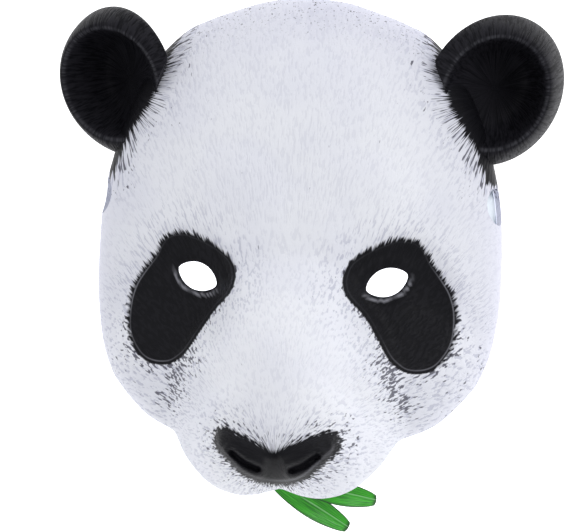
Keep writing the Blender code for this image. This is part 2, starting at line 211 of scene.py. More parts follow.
CREASE_LINE = ((48.7, -39.5), (52.5, -47), (55.3, -54.3), (58.2, -59.6))
EAR_ROOT_OUTLINE = (
    # out, up
    (62, 121), (65, 116), (67, 106), (71, 97), (74, 87), (80, 78), (86, 69), (90, 60), (93, 50),
    (140, 50), (140, 150), (62, 150),
)
MILLIMETRE = 0.001
BRIDGE = (0.0, -BRIDGE_DROP)
PATCH_MIDDLE = (0.050, -0.008)
NOSE_MIDDLE = (0.0, -0.086)
EAR_MIDDLE = (HALF_FACE - EAR_INSIDE_TEMPLE, CROWN_RISE - EAR_BELOW_CROWN)


def smooth_curve(rows, steps):
    """Points on a smooth curve through rows[1:-1], with steps(a, b) points from each row to the next."""
    points = []
    for k in range(1, len(rows) - 2):
        a, b, c, d = rows[k - 1 : k + 3]
        pieces = steps(b, c)
        for t in np.arange(pieces) / pieces:
            bend = (2 * a - 5 * b + 4 * c - d) * t * t + (3 * b - a - 3 * c + d) * t**3
            points.append(b + 0.5 * ((c - a) * t + bend))
    return points


def whole_rim(upper_step, lower_step):
    """The closed outline, once round from the crown down the right side, past the lip and up the left side."""
    rows = np.array(
        [
            (
                out * HALF_FACE,
                up * CROWN_RISE - down * LIP_DROP,
                widest * DOME_DEPTH,
                rim * DOME_DEPTH - TRIM_DEPTH * (rim == 0),
                tuck,
            )
            for out, up, down, widest, rim, tuck in OUTLINE
        ]
    )

    def steps(b, c):
        share = min(max((c[1] + 0.6 * LIP_DROP) / (0.5 * LIP_DROP), 0), 1)
        step = lower_step + (upper_step - lower_step) * share
        return max(1, math.ceil(np.linalg.norm((c - b)[:3]) / step))

    mirrored = rows * MIRROR
    half = np.array(smooth_curve(np.vstack([mirrored[1], rows, mirrored[-2]]), steps) + [rows[-1]])
    return np.vstack([half, (half * MIRROR)[-2:0:-1]])


def closed_outline(points, mirror_half=False):
    """A fine closed outline in metres through a table of millimetres."""
    rows = np.array(points, float) * MILLIMETRE
    if mirror_half:
        rows = np.vstack([rows, (rows * (-1, 1))[-2:0:-1]])
    around = np.vstack([rows[-1], rows, rows[:2]])
    return np.array(smooth_curve(around, lambda b, c: 4))


def signed_distance(x, y, outline):
    """The distance of each point to a closed outline, negative inside it."""
    best = np.full(x.shape, 1.0)
    inside = np.zeros(x.shape, bool)
    for (ax, ay), (bx, by) in zip(outline, np.roll(outline, -1, axis=0)):
        wide, high = bx - ax, by - ay
        share = np.clip(((x - ax) * wide + (y - ay) * high) / (wide * wide + high * high), 0, 1)
        best = np.minimum(best, np.hypot(x - ax - share * wide, y - ay - share * high))
        crosses = (ay > y) != (by > y)
        inside ^= crosses & (x < ax + (y - ay) * wide / (high if high else 1))
    return np.where(inside, -best, best)


def line_distance(x, y, line):
    """The distance of each point to an open line given in millimetres."""
    rows = np.array(line, float) * MILLIMETRE
    best = np.full(x.shape, 1.0)
    for (ax, ay), (bx, by) in zip(rows, rows[1:]):
        wide, high = bx - ax, by - ay
        share = np.clip(((x - ax) * wide + (y - ay) * high) / (wide * wide + high * high), 0, 1)
        best = np.minimum(best, np.hypot(x - ax - share * wide, y - ay - share * high))
    return best


def smooth(value, low, high):
    share = np.clip((value - low) / (high - low), 0, 1)
    return share * share * (3 - 2 * share)


def bell(distance):
    """1 at the middle, falling smoothly to 0 at a distance of 1."""
    near = np.clip(1 - distance**2, 0, None)
    return near**2 * (3 - 2 * near)


def eye_outline(grow=0.0, sides=48):
    """The almond outline of the right eye hole."""
    points = []
    for angle in np.arange(sides) * math.tau / sides:
        along = (EYE_HALF_LENGTH + grow) * math.cos(angle)
        across = (EYE_HALF_HEIGHT + grow) * math.sin(angle) * (0.55 + 0.45 * abs(math.sin(angle)))
        points.append(
            (
                EYE_OUT + along * math.cos(EYE_SLANT) - across * math.sin(EYE_SLANT),
                along * math.sin(EYE_SLANT) + across * math.cos(EYE_SLANT),
            )
        )
    return np.array(points)


def broad_relief(x, y):
    """How far the face's large forms stand in front of the plain dome."""
    up = y / CROWN_RISE
    out = np.abs(x) / HALF_FACE
    height = np.zeros_like(x)
    for row_out, row_up, reach_out, reach_up, share in SWELLINGS:
        distance = np.hypot((out - row_out) / reach_out, (up - row_up) / reach_up)
        height += share * DOME_DEPTH * bell(distance)
    below = np.where(y < -MUZZLE_DROP, MUZZLE_LENGTH_DOWN, MUZZLE_LENGTH_UP)
    muzzle = 1 - (x / MUZZLE_HALF_WIDTH) ** 2 - ((y + MUZZLE_DROP) / below) ** 2
    return height + MUZZLE_REACH * np.clip(muzzle, 0, None) ** 1.3


def fine_relief(x, y):
    """The small forms: the nose with its nostrils, the lids round the eyes and the sunken eye patches."""
    out = np.abs(x)
    nose = signed_distance(x, y, closed_outline(NOSE_HALF_OUTLINE, True))
    height = NOSE_RELIEF * smooth(-nose, -0.0012, NOSE_SLOPE)
    slot = line_distance(out, y, NOSTRIL_LINE)
    height -= NOSTRIL_DEPTH * bell(np.clip(slot / NOSTRIL_HALF_WIDTH, 0, 1))
    height += 0.0007 * bell(np.clip((slot - 0.0036) / 0.0016, -1, 1)) * (nose < 0.001)
    height -= 0.0010 * bell(np.clip(out / 0.0022, 0, 1)) * smooth(-y, 0.086, 0.098)
    patch = signed_distance(out, y, closed_outline(PATCH_OUTLINE))
    height -= PATCH_RECESS * smooth(-patch, -0.0006, 0.0012)
    height += 0.0004 * bell(np.clip((patch + 0.0024) / 0.0011, -1, 1))
    lid = signed_distance(out, y, eye_outline())
    under = smooth((out - EYE_OUT) * math.sin(EYE_SLANT) - y * math.cos(EYE_SLANT), -0.002, 0.004)
    height += LID_HEIGHT * bell(np.clip((lid - 0.0024) / LID_WIDTH, -1, 1)) * under
    height += LID_HEIGHT * bell(np.clip((lid - 0.0040) / (2 * LID_WIDTH), -1, 1)) * (1 - under)
    return height


def skin(rim, rings, lift=0.0, fine=False):
    """The head's surface as points[ray, ring]: rays run from the bridge of the nose over the widest point to
    the back edge. lift moves every point out along the surface, or inwards where it is negative.
    """
    over = np.linspace(0, 1, rings + 1) / WIDEST_RING
    quarter = np.clip(over, 0, 1) * math.pi / 2
    spread = np.sin(quarter) ** (2 / DOME_POWER)
    fall = np.clip(np.cos(quarter), 0, None) ** (2 / DOME_POWER)
    hold = np.clip(1 - spread**8, 0, None) ** 0.4
    under = np.clip((over - 1) / (1 / WIDEST_RING - 1), 0, 1)
    centre = np.array(BRIDGE)
    inward = spread[None, :] - rim[:, 4:5] * under[None, :] ** 2
    flat = centre + (rim[:, None, :2] - centre) * inward[..., None]
    x, y = flat[..., 0], flat[..., 1]
    widest, edge = rim[:, 2:3], rim[:, 3:4]
    z = widest + (DOME_DEPTH - widest) * fall[None, :] + (edge - widest) * under[None, :]
    z = z + broad_relief(x, y) * hold[None, :]
    if fine:
        z = z + fine_relief(x, y) * hold[None, :]
    points = np.stack([x, y, z], axis=-1)
    return points + normals(points) * lift if lift else points


def normals(points):
    """Unit normals of a grid of points that closes on itself along its first axis, pointing out of the face."""
    along = np.roll(points, -1, axis=0) - np.roll(points, 1, axis=0)
    out = np.gradient(points, axis=1)
    normal = np.cross(out, along)
    size = np.linalg.norm(normal, axis=-1, keepdims=True)
    normal = normal / np.where(size > 0, size, 1)
    normal = normal * np.where(normal[:, 1:2, 2:3] < 0, -1, 1)
    normal[:, 0] = (0, 0, 1)
    return normal


def add_sheet(bm, points, slot, upward):
    """Adds a sheet of faces over the points, from a grid whose ends and middle are merged."""
    around, rings = points.shape[0], points.shape[1] - 1
    made = bmesh.ops.create_grid(bm, x_segments=around, y_segments=rings, size=1.0)["verts"]
    for vert in made:
        ray = round((vert.co.x + 1) / 2 * around) % around
        ring = round((vert.co.y + 1) / 2 * rings)
        vert.co = points[ray, ring]
    bmesh.ops.remove_doubles(bm, verts=made, dist=1e-6)
    kept = [vert for vert in made if vert.is_valid]
    faces = list({face for vert in kept for face in vert.link_faces})
    for face in faces:
        face.material_index = slot
    bm.normal_update()
    flips = sum(face.normal.z * face.calc_area() for face in faces)
    if (flips > 0) != upward:
        bmesh.ops.reverse_faces(bm, faces=faces)
    return [edge for face in faces for edge in face.edges if edge.is_boundary]


def face_offset():
    """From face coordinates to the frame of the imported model."""
    low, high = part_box("face_shell")
    return Vector(((low[0] + high[0]) / 2, high[1] - CROWN_RISE, 0))


def object_of(name, bm, materials, sharp=math.radians(40)):
    """The bmesh as a smooth-shaded object of its own."""
    mesh = bpy.data.meshes.new(name)
    bm.to_mesh(mesh)
    bm.free()
    mesh.shade_smooth()
    mesh.set_sharp_from_angle(angle=sharp)
    for finish in materials:
        mesh.materials.append(finish)
    obj = bpy.data.objects.new(name, mesh)
    bpy.context.scene.collection.objects.link(obj)
    return obj


def cut_away(obj, bm):
    """Cuts the solid bm out of obj for good."""
    cutter = object_of(obj.name + "_cutter", bm, [])
    modifier = obj.modifiers.new("cut", "BOOLEAN")
    modifier.operation = "DIFFERENCE"
    modifier.solver = "EXACT"
    modifier.object = cutter
    bpy.context.view_layer.update()
    graph = bpy.context.evaluated_depsgraph_get()
    mesh = bpy.data.meshes.new_from_object(obj.evaluated_get(graph))
    obj.modifiers.clear()
    old = obj.data
    obj.data = mesh
    bpy.data.meshes.remove(old)
    mesh.name = obj.name
    bpy.data.objects.remove(cutter, do_unlink=True)
    mesh.shade_smooth()
    mesh.set_sharp_from_angle(angle=math.radians(40))
    if not mesh.polygons:
        raise RuntimeError(obj.name + " was cut away whole")


def coordinates(mesh):
    flat = np.empty(len(mesh.vertices) * 3)
    mesh.vertices.foreach_get("co", flat)
    return flat.reshape(-1, 3)


def store(mesh, name, values):
    """Keeps a number or a vector for each vertex of the mesh, for its material to read."""
    kind, field = ("FLOAT_VECTOR", "vector") if values.ndim == 2 else ("FLOAT", "value")
    attribute = mesh.attributes.new(name, kind, "POINT")
    attribute.data.foreach_set(field, np.ascontiguousarray(values, dtype=np.float32).ravel())


def finish_piece(obj, node):
    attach(obj, "root")
    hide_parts(node)


# ---------------------------------------------------------------------------------------------------------
# Materials


def add(tree, kind, inputs=None, **values):
    """A node with its settings, and its inputs set or linked."""
    made = tree.nodes.new(kind)
    for key, value in values.items():
        setattr(made, key, value)
    for key, value in (inputs or {}).items():
        if isinstance(value, bpy.types.NodeSocket):
            tree.links.new(value, made.inputs[key])
        else:
            made.inputs[key].default_value = value
    return made


def maths(tree, operation, a, b=0.0):
    return add(tree, "ShaderNodeMath", {0: a, 1: b}, operation=operation).outputs[0]


def ramp(tree, value, low, high, start=0.0, end=1.0):
    """start where value is low, end where it is high, and smoothly between."""
    inputs = {"Value": value, "From Min": low, "From Max": high, "To Min": start, "To Max": end}
    return add(tree, "ShaderNodeMapRange", inputs, interpolation_type="SMOOTHSTEP").outputs["Result"]


def blend_colour(tree, share, a, b):
    made = add(tree, "ShaderNodeMix", {0: share, 6: a, 7: b}, data_type="RGBA")
    return made.outputs[2]


def blend_value(tree, share, a, b):
    return add(tree, "ShaderNodeMix", {0: share, 2: a, 3: b}, data_type="FLOAT").outputs[0]


def attribute(tree, name, output="Fac"):
    return add(tree, "ShaderNodeAttribute", attribute_name=name).outputs[output]


def strokes_group():
    """Fine parallel hair strokes: the flow vector changes fast across the hairs and slowly along them."""
    group = bpy.data.node_groups.get("hair_strokes")
    if group:
        return group
    group = bpy.data.node_groups.new("hair_strokes", "ShaderNodeTree")
    group.interface.new_socket("Flow", in_out="INPUT", socket_type="NodeSocketVector")
    group.interface.new_socket("Fineness", in_out="INPUT", socket_type="NodeSocketFloat")
    group.interface.new_socket("Grooves", in_out="OUTPUT", socket_type="NodeSocketFloat")
    group.interface.new_socket("Hairs", in_out="OUTPUT", socket_type="NodeSocketFloat")
    start = group.nodes.new("NodeGroupInput")
    end = group.nodes.new("NodeGroupOutput")
    flow, scale = start.outputs["Flow"], start.outputs["Fineness"]
    coarse = add(group, "ShaderNodeTexNoise", {"Vector": flow, "Scale": scale, "Detail": 2.0, "Roughness": 0.5})
    shifted = add(group, "ShaderNodeVectorMath", {0: flow, 1: (0.37, 0.11, 0.73)}, operation="ADD").outputs[0]
    thin = add(group, "ShaderNodeTexNoise", {"Vector": shifted, "Scale": scale, "Detail": 1.5, "Roughness": 0.5})
    group.links.new(ramp(group, coarse.outputs["Fac"], 0.34, 0.62), end.inputs["Grooves"])
    group.links.new(thin.outputs["Fac"], end.inputs["Hairs"])
    return group


def strokes(tree, flow, fineness):
    made = add(tree, "ShaderNodeGroup", node_tree=strokes_group())
    tree.links.new(flow, made.inputs["Flow"])
    made.inputs["Fineness"].default_value = fineness
    return made.outputs["Grooves"], made.outputs["Hairs"]


def new_material(name):
    made = bpy.data.materials.new(name)
    made.use_nodes = True
    tree = made.node_tree
    return made, tree, tree.nodes["Principled BSDF"]


def line_mask(tree, distance, middle, half_width):
    """1 along the line where distance is middle, 0 from half_width away."""
    off = maths(tree, "ABSOLUTE", maths(tree, "SUBTRACT", distance, middle))
    return ramp(tree, off, half_width, 0.0)


def skin_material(settings):
    """White latex with hair grooves, and the black paint of the patches, the nose and the ears' roots."""
    made, tree, shader = new_material("latex_skin")
    grooves, hairs = strokes(tree, attribute(tree, "flow_mid", "Vector"), 950.0)
    for name, fineness in (("near", 950.0), ("far", 950.0), ("ear", 950.0)):
        other, other_hairs = strokes(tree, attribute(tree, "flow_" + name, "Vector"), fineness)
        share = attribute(tree, "share_" + name)
        grooves = blend_value(tree, share, grooves, other)
        hairs = blend_value(tree, share, hairs, other_hairs)

    place = add(tree, "ShaderNodeTexCoord").outputs["Object"]
    cloud = add(tree, "ShaderNodeTexNoise", {"Vector": place, "Scale": 26.0, "Detail": 2.0}).outputs["Fac"]
    patchy = ramp(tree, cloud, 0.38, 0.62)

    colour = blend_colour(tree, maths(tree, "MULTIPLY", patchy, 0.30), settings.white, settings.shade)
    # Painted shade: darker where the latex turns back towards the rim, more on the right side
    colour = blend_colour(tree, attribute(tree, "painted_rim_shade"), colour, settings.painted_rim_shade)
    # Painted shade in the bottom of the hair grooves, stronger near the painted areas and on the lower face
    groove_shade_share = ramp(tree, grooves, 0.45, 0.05)
    groove_shade_share = maths(tree, "MULTIPLY", groove_shade_share, blend_value(tree, attribute(tree, "relief"), 0.16, 0.55))
    colour = blend_colour(tree, groove_shade_share, colour, settings.painted_groove_shade)
    level = attribute(tree, "hair_level")
    drawn = ramp(tree, maths(tree, "SUBTRACT", hairs, level), 0.0, 0.07)
    colour = blend_colour(tree, maths(tree, "MULTIPLY", drawn, 0.9), colour, settings.dash)
    grit = add(tree, "ShaderNodeTexNoise", {"Vector": place, "Scale": 900.0, "Detail": 1.0}).outputs["Fac"]
    specks = maths(tree, "MULTIPLY", ramp(tree, grit, 0.66, 0.70), attribute(tree, "crown"))
    colour = blend_colour(tree, specks, colour, settings.black)

    swing = maths(tree, "SUBTRACT", hairs, 0.5)
    patch = attribute(tree, "patch")
    edge = maths(tree, "ADD", patch, maths(tree, "MULTIPLY", swing, attribute(tree, "ragged")))
    patch_paint = ramp(tree, maths(tree, "MULTIPLY", edge, attribute(tree, "crisp")), 1.0, -1.0)
    nose = attribute(tree, "nose")
    nose_edge = maths(tree, "ADD", nose, maths(tree, "MULTIPLY", swing, -0.0060))
    nose_paint = ramp(tree, nose_edge, 0.0012, -0.0010)
    root = attribute(tree, "root")
    root_edge = maths(tree, "ADD", root, maths(tree, "MULTIPLY", swing, -0.0110))
    root_paint = ramp(tree, root_edge, 0.0012, -0.0010)
    paint = maths(tree, "MAXIMUM", maths(tree, "MAXIMUM", patch_paint, nose_paint), root_paint)

    # Painted highlights: light lines along the ridge inside the patches' edges, under the nose and under the eye holes
    highlit = maths(tree, "MULTIPLY", line_mask(tree, patch, -0.0019, 0.0006), attribute(tree, "ridge_highlight"))
    highlit = maths(tree, "MAXIMUM", highlit, maths(tree, "MULTIPLY", attribute(tree, "nose_highlight"), 0.35))
    highlit = maths(tree, "MULTIPLY", highlit, blend_value(tree, patchy, 0.35, 1.0))
    highlit = maths(tree, "MAXIMUM", highlit, attribute(tree, "lid_highlight"))
    # Painted sheen: a lighter black on the raised hair strokes
    black = blend_colour(tree, maths(tree, "MULTIPLY", ramp(tree, grooves, 0.5, 1.0), 0.15), settings.black, settings.sheen_black)
    black = blend_colour(tree, highlit, black, settings.highlit)
    colour = blend_colour(tree, paint, colour, black)
    tree.links.new(colour, shader.inputs["Base Color"])
    tree.links.new(blend_value(tree, paint, 0.55, 0.48), shader.inputs["Roughness"])
    shader.inputs["Specular IOR Level"].default_value = 0.13

    pores = add(tree, "ShaderNodeTexNoise", {"Vector": place, "Scale": 1500.0, "Detail": 2.0}).outputs["Fac"]
    height = maths(tree, "MULTIPLY", grooves, blend_value(tree, attribute(tree, "relief"), 0.55, 1.0))
    height = maths(tree, "ADD", height, maths(tree, "MULTIPLY", pores, 0.15))
    height = maths(tree, "ADD", height, maths(tree, "MULTIPLY", paint, -0.6))
    bump = add(tree, "ShaderNodeBump", {"Height": height, "Strength": settings.groove_strength, "Distance": 0.0005})
    tree.links.new(bump.outputs["Normal"], shader.inputs["Normal"])
    return made


def inner_material(settings):
    """The bare inside of the latex."""
    made, tree, shader = new_material("latex_inside")
    place = add(tree, "ShaderNodeTexCoord").outputs["Object"]
    cloud = add(tree, "ShaderNodeTexNoise", {"Vector": place, "Scale": 40.0, "Detail": 4.0}).outputs["Fac"]
    colour = blend_colour(tree, ramp(tree, cloud, 0.35, 0.65), settings.white, settings.shade)
    tree.links.new(colour, shader.inputs["Base Color"])
    shader.inputs["Roughness"].default_value = 0.6
    bump = add(tree, "ShaderNodeBump", {"Height": cloud, "Strength": 0.3, "Distance": 0.0008})
    tree.links.new(bump.outputs["Normal"], shader.inputs["Normal"])
    return made


def ear_material(settings):
    """Black satin paint over the ears' hair strokes."""
    made, tree, shader = new_material("latex_ear")
    grooves, hairs = strokes(tree, attribute(tree, "flow", "Vector"), 620.0)
    band = attribute(tree, "band")
    # Painted sheen: a lighter black on the raised hair strokes
    colour = blend_colour(tree, maths(tree, "MULTIPLY", grooves, 0.5), settings.black, settings.sheen_black)
    # Painted highlight: a broken light line along the ears' rim
    rim = maths(tree, "MULTIPLY", attribute(tree, "rim_highlight"), ramp(tree, hairs, 0.30, 0.70))
    colour = blend_colour(tree, maths(tree, "MULTIPLY", rim, 0.15), colour, settings.highlit)
    tree.links.new(colour, shader.inputs["Base Color"])
    tree.links.new(blend_value(tree, grooves, 0.54, 0.46), shader.inputs["Roughness"])
    shader.inputs["Specular IOR Level"].default_value = 0.06
    height = maths(tree, "MULTIPLY", grooves, blend_value(tree, band, 0.35, 1.0))
    bump = add(tree, "ShaderNodeBump", {"Height": height, "Strength": 0.55, "Distance": 0.0007})
    tree.links.new(bump.outputs["Normal"], shader.inputs["Normal"])
    return made


def leaf_material(settings):
    """Glossy green, darker towards the edges, with a painted highlight along the folded midrib."""
    made, tree, shader = new_material("leaf_gloss")
    side = attribute(tree, "side")
    along = attribute(tree, "along")
    streak = add(tree, "ShaderNodeCombineXYZ", {"X": maths(tree, "MULTIPLY", side, 5.0), "Y": along, "Z": 0.3})
    veins = add(tree, "ShaderNodeTexNoise", {"Vector": streak.outputs[0], "Scale": 3.0, "Detail": 3.0}).outputs["Fac"]
    colour = blend_colour(tree, ramp(tree, veins, 0.35, 0.65), settings.green, settings.deep_green)
    edge = ramp(tree, maths(tree, "ABSOLUTE", side), 0.80, 1.0)
    tip = ramp(tree, along, 0.93, 1.0)
    colour = blend_colour(tree, maths(tree, "MULTIPLY", maths(tree, "MAXIMUM", edge, tip), 0.85), colour, settings.black)
    # Painted highlight: a light line along the fold
    gleam = maths(tree, "MULTIPLY", line_mask(tree, side, 0.12, 0.10), ramp(tree, along, 0.25, 0.5))
    colour = blend_colour(tree, maths(tree, "MULTIPLY", gleam, 0.55), colour, settings.gleam)
    tree.links.new(colour, shader.inputs["Base Color"])
    shader.inputs["Roughness"].default_value = 0.22
    bump = add(tree, "ShaderNodeBump", {"Height": veins, "Strength": 0.35, "Distance": 0.0008})
    tree.links.new(bump.outputs["Normal"], shader.inputs["Normal"])
    return made


def strap_material(settings):
    """Woven elastic: fine ribs across the band."""
    made, tree, shader = new_material("elastic_weave")
    place = add(tree, "ShaderNodeTexCoord").outputs["Object"]
    split = add(tree, "ShaderNodeSeparateXYZ", {"Vector": place}).outputs
    rows = maths(tree, "SINE", maths(tree, "MULTIPLY", split["Z"], 4200.0))
    shader.inputs["Base Color"].default_value = settings.elastic
    shader.inputs["Roughness"].default_value = 0.8
    bump = add(tree, "ShaderNodeBump", {"Height": rows, "Strength": 0.25, "Distance": 0.0002})
    tree.links.new(bump.outputs["Normal"], shader.inputs["Normal"])
    return made


# ---------------------------------------------------------------------------------------------------------
# Settings


def colour_property(name, description, default):
    return bpy.props.FloatVectorProperty(
        name=name, description=description, default=default, subtype="COLOR", size=4, min=0.0, max=1.0
    )


class MaskFinishSettings(bpy.types.PropertyGroup):
    white: colour_property("White", "The bare white latex", (0.86, 0.87, 0.92, 1.0))
    shade: colour_property("Shade", "The shaded clouds on the white latex", (0.74, 0.75, 0.85, 1.0))
    # Painted shade where the latex turns back to the rim
    painted_rim_shade: colour_property("Painted rim shade", "The latex where it turns back to the rim", (0.52, 0.52, 0.64, 1.0))
    # Painted shade in the bottom of the hair grooves
    painted_groove_shade: colour_property("Groove", "The bottom of the hair grooves", (0.42, 0.43, 0.54, 1.0))
    dash: colour_property("Dash", "The darkest short hairs beside the patches", (0.10, 0.10, 0.13, 1.0))
    black: colour_property("Black", "The black paint", (0.006, 0.006, 0.008, 1.0))
    # Painted highlight along the ridges of the paint
    highlit: colour_property("Highlit edge", "The light lines on the ridges of the paint", (0.24, 0.24, 0.27, 1.0))
    # Painted sheen on the raised hair strokes of the black paint
    sheen_black: colour_property("Sheen black", "The black paint where it is rubbed", (0.030, 0.029, 0.036, 1.0))
    green: colour_property("Green", "The leaves", (0.055, 0.52, 0.020, 1.0))
    deep_green: colour_property("Deep green", "The leaves' veins", (0.016, 0.24, 0.008, 1.0))
    gleam: colour_property("Gleam", "The light line along the leaves' fold", (0.45, 0.80, 0.42, 1.0))
    elastic: colour_property("Elastic", "The strap", (0.78, 0.84, 0.90, 1.0))
    groove_strength: bpy.props.FloatProperty(
        name="Groove strength", description="How deep the hair grooves look", default=0.45, min=0.0, max=1.0
    )


class MaskStageSettings(bpy.types.PropertyGroup):
    distance: bpy.props.FloatProperty(
        name="Camera distance", description="From the camera to the face", default=1.3, unit="LENGTH"
    )
    yaw: bpy.props.FloatProperty(
        name="Yaw", description="How far the camera stands to the right", default=math.radians(7), subtype="ANGLE"
    )
    roll: bpy.props.FloatProperty(
        name="Roll", description="How far the camera is rolled", default=math.radians(1.9), subtype="ANGLE"
    )
    pixel: bpy.props.FloatProperty(
        name="Pixel", description="The width of a pixel at the target", default=0.00049, unit="LENGTH"
    )
    world: bpy.props.FloatProperty(name="Sky", description="Strength of the even light", default=0.68)
    key: bpy.props.FloatProperty(name="Key", description="Power of the light from the right", default=5.0, unit="POWER")
    floor_glow: bpy.props.FloatProperty(name="Floor glow", description="Brightness of the floor", default=1.05)


# ---------------------------------------------------------------------------------------------------------
# Pieces


class MASK_OT_face(bpy.types.Operator):
    """Builds the moulded white shell of the face"""

    bl_idname = "mask.face"
    bl_label = "Face"

    def execute(self, context):
        settings = context.scene.mask_finish
        rim = whole_rim(UPPER_STEP, LOWER_STEP)
        bm = bmesh.new()
        loop = add_sheet(bm, skin(rim, RINGS, fine=True), 0, True)
        loop += add_sheet(bm, skin(rim, INNER_RINGS, lift=-WALL), 1, False)
        bridge = bmesh.ops.bridge_loops(bm, edges=list(set(loop)))
        for face in bridge["faces"]:
            face.material_index = 1
        bmesh.ops.recalc_face_normals(bm, faces=bm.faces)
        shell = object_of("mask_face", bm, [skin_material(settings), inner_material(settings)])
        cut_away(shell, face_cutters(rim))
        paint_attributes(shell.data)
        shell.data.transform(Matrix.Translation(face_offset()))
        finish_piece(shell, "face_shell")
        return {"FINISHED"}


def face_cutters(rim):
    """The floor's box, the eye holes and the temple holes as one bmesh."""
    bm = bmesh.new()
    reach = 2 * CROWN_RISE
    bmesh.ops.create_cube(bm, size=1.0, matrix=Matrix.Translation((0, 0, -reach / 2)) @ Matrix.Scale(reach, 4))
    for side in (-1, 1):
        verts = [bm.verts.new((side * x, y, DOME_DEPTH / 3)) for x, y in eye_outline()]
        pulled = bmesh.ops.extrude_face_region(bm, geom=[bm.faces.new(verts)])
        moved = [part for part in pulled["geom"] if isinstance(part, bmesh.types.BMVert)]
        bmesh.ops.translate(bm, verts=moved, vec=(0, 0, DOME_DEPTH))
        middle, facing = temple_spot(rim, side)
        turn = facing.to_track_quat("Z", "Y").to_matrix().to_4x4()
        bmesh.ops.create_cone(
            bm,
            cap_ends=True,
            segments=64,
            radius1=TEMPLE_HOLE_DIAMETER / 2,
            radius2=TEMPLE_HOLE_DIAMETER / 2,
            depth=8 * WALL,
            matrix=Matrix.Translation(middle) @ turn,
        )
    bmesh.ops.recalc_face_normals(bm, faces=bm.faces)
    return bm


def temple_spot(rim, side):
    """Where the middle of a temple's hole lies on the skin, and the way the wall faces there."""
    points = skin(rim, 200)
    facing = normals(points)
    off = np.abs(points[..., 1] - TEMPLE_HOLE_RISE) + np.abs(points[..., 2] - TEMPLE_HOLE_HEIGHT)
    off[points[..., 0] * side < HALF_FACE / 2] = 1
    spot = np.unravel_index(np.argmin(off), off.shape)
    return Vector(points[spot]), Vector(facing[spot])


def flow_round(x, y, z, middle, reach, stretch):
    """Flow coordinates of hairs that radiate from a point and run down the sides, without a seam."""
    away_x, away_y = x - middle[0], y - middle[1]
    radius = np.hypot(away_x, away_y)
    safe = np.where(radius > 1e-6, radius, 1)
    return np.stack([away_x / safe * reach, away_y / safe * reach, (radius - z) * stretch], axis=-1)


def paint_attributes(mesh):
    """Distances to the painted areas, and the flow and strength of the hairs, for each vertex."""
    x, y, z = coordinates(mesh).T
    out = np.abs(x)
    patch = signed_distance(out, y, closed_outline(PATCH_OUTLINE))
    nose = signed_distance(x, y, closed_outline(NOSE_HALF_OUTLINE, True))
    root = signed_distance(out, y, np.array(EAR_ROOT_OUTLINE, float) * MILLIMETRE)
    crease = line_distance(out, y, CREASE_LINE)
    lid = signed_distance(out, y, eye_outline())
    store(mesh, "patch", patch)
    store(mesh, "nose", nose)
    store(mesh, "root", root)
    # From the patch's lower inner side, where its edge is crisp, to its upper outer side, where it is hairy
    sideways = (out - PATCH_MIDDLE[0]) * 0.75 + (y - PATCH_MIDDLE[1]) * 0.66
    hairy = smooth(sideways, -0.014, 0.012)
    store(mesh, "ragged", -0.0012 - 0.0050 * hairy)
    store(mesh, "crisp", 1 / (0.0004 + 0.0009 * hairy))
    outer = smooth((out - PATCH_MIDDLE[0]) * 0.9 - (y - PATCH_MIDDLE[1]) * 0.4, 0.0, 0.020)
    # Strength of the painted highlight along the patches' ridge, stronger on the outer side
    store(mesh, "ridge_highlight", 0.08 + 0.52 * outer)
    # Where the painted highlight under the eye holes runs
    under = smooth((out - EYE_OUT) * math.sin(EYE_SLANT) - y * math.cos(EYE_SLANT), 0.0, 0.004)
    store(mesh, "lid_highlight", smooth(np.abs(lid - 0.0019), 0.0008, 0.0002) * under)
    # Where the painted highlight under the nose runs
    belly = -0.0895 + 0.0135 * np.clip(out / 0.030, 0, 1.2) ** 1.2
    low_nose = smooth(belly - y, -0.001, 0.003)
    store(mesh, "nose_highlight", smooth(np.abs(nose + 0.0030), 0.0009, 0.0002) * low_nose)

    reach = np.hypot(x - NOSE_MIDDLE[0], y - NOSE_MIDDLE[1])
    store(mesh, "flow_near", flow_round(x, y, z, NOSE_MIDDLE, 0.030, 0.24))
    store(mesh, "flow_mid", flow_round(x, y, z, NOSE_MIDDLE, 0.070, 0.24))
    store(mesh, "flow_far", flow_round(x, y, z, NOSE_MIDDLE, 0.150, 0.20))
    flow_ear = flow_round(out, y, z, EAR_MIDDLE, 0.045, 0.24)
    flow_ear[:, 0] += 0.2 * (x < 0)
    store(mesh, "flow_ear", flow_ear)
    store(mesh, "share_near", smooth(reach, 0.046, 0.042))
    store(mesh, "share_far", smooth(reach, 0.108, 0.116))
    store(mesh, "share_ear", smooth(root, 0.010, 0.006))

    below = smooth(-y, 0.0, 0.040)
    levels = (
        0.53 + nose * 16 - 1.5 * np.clip(x - 0.01, 0, 0.02),
        0.50 + patch / (0.012 + 0.020 * outer * below + 0.008 * below),
        0.50 + root * 14,
        0.44 + crease * 22,
        0.76 - 0.10 * smooth(out, 0.055, 0.085) * below,
    )
    store(mesh, "hair_level", np.clip(np.minimum.reduce(levels), 0.47, 1))
    near = np.minimum(np.minimum(patch, nose), np.minimum(root, crease))
    # How deep the relief looks near the painted areas and on the lower face; it also sets how strong the painted groove
    # shade is
    store(mesh, "relief", np.clip(smooth(near, 0.022, 0.002) + 0.6 * below * smooth(out, 0.03, 0.06), 0, 1))
    # Painted shade: how far the surface has turned back towards the rim, more on the right side
    store(mesh, "painted_rim_shade", smooth(z, 0.080, 0.042) * np.where(x > 0, 0.62, 0.50))
    store(mesh, "crown", smooth(y, 0.100, 0.136) * smooth(z, 0.070, 0.045))


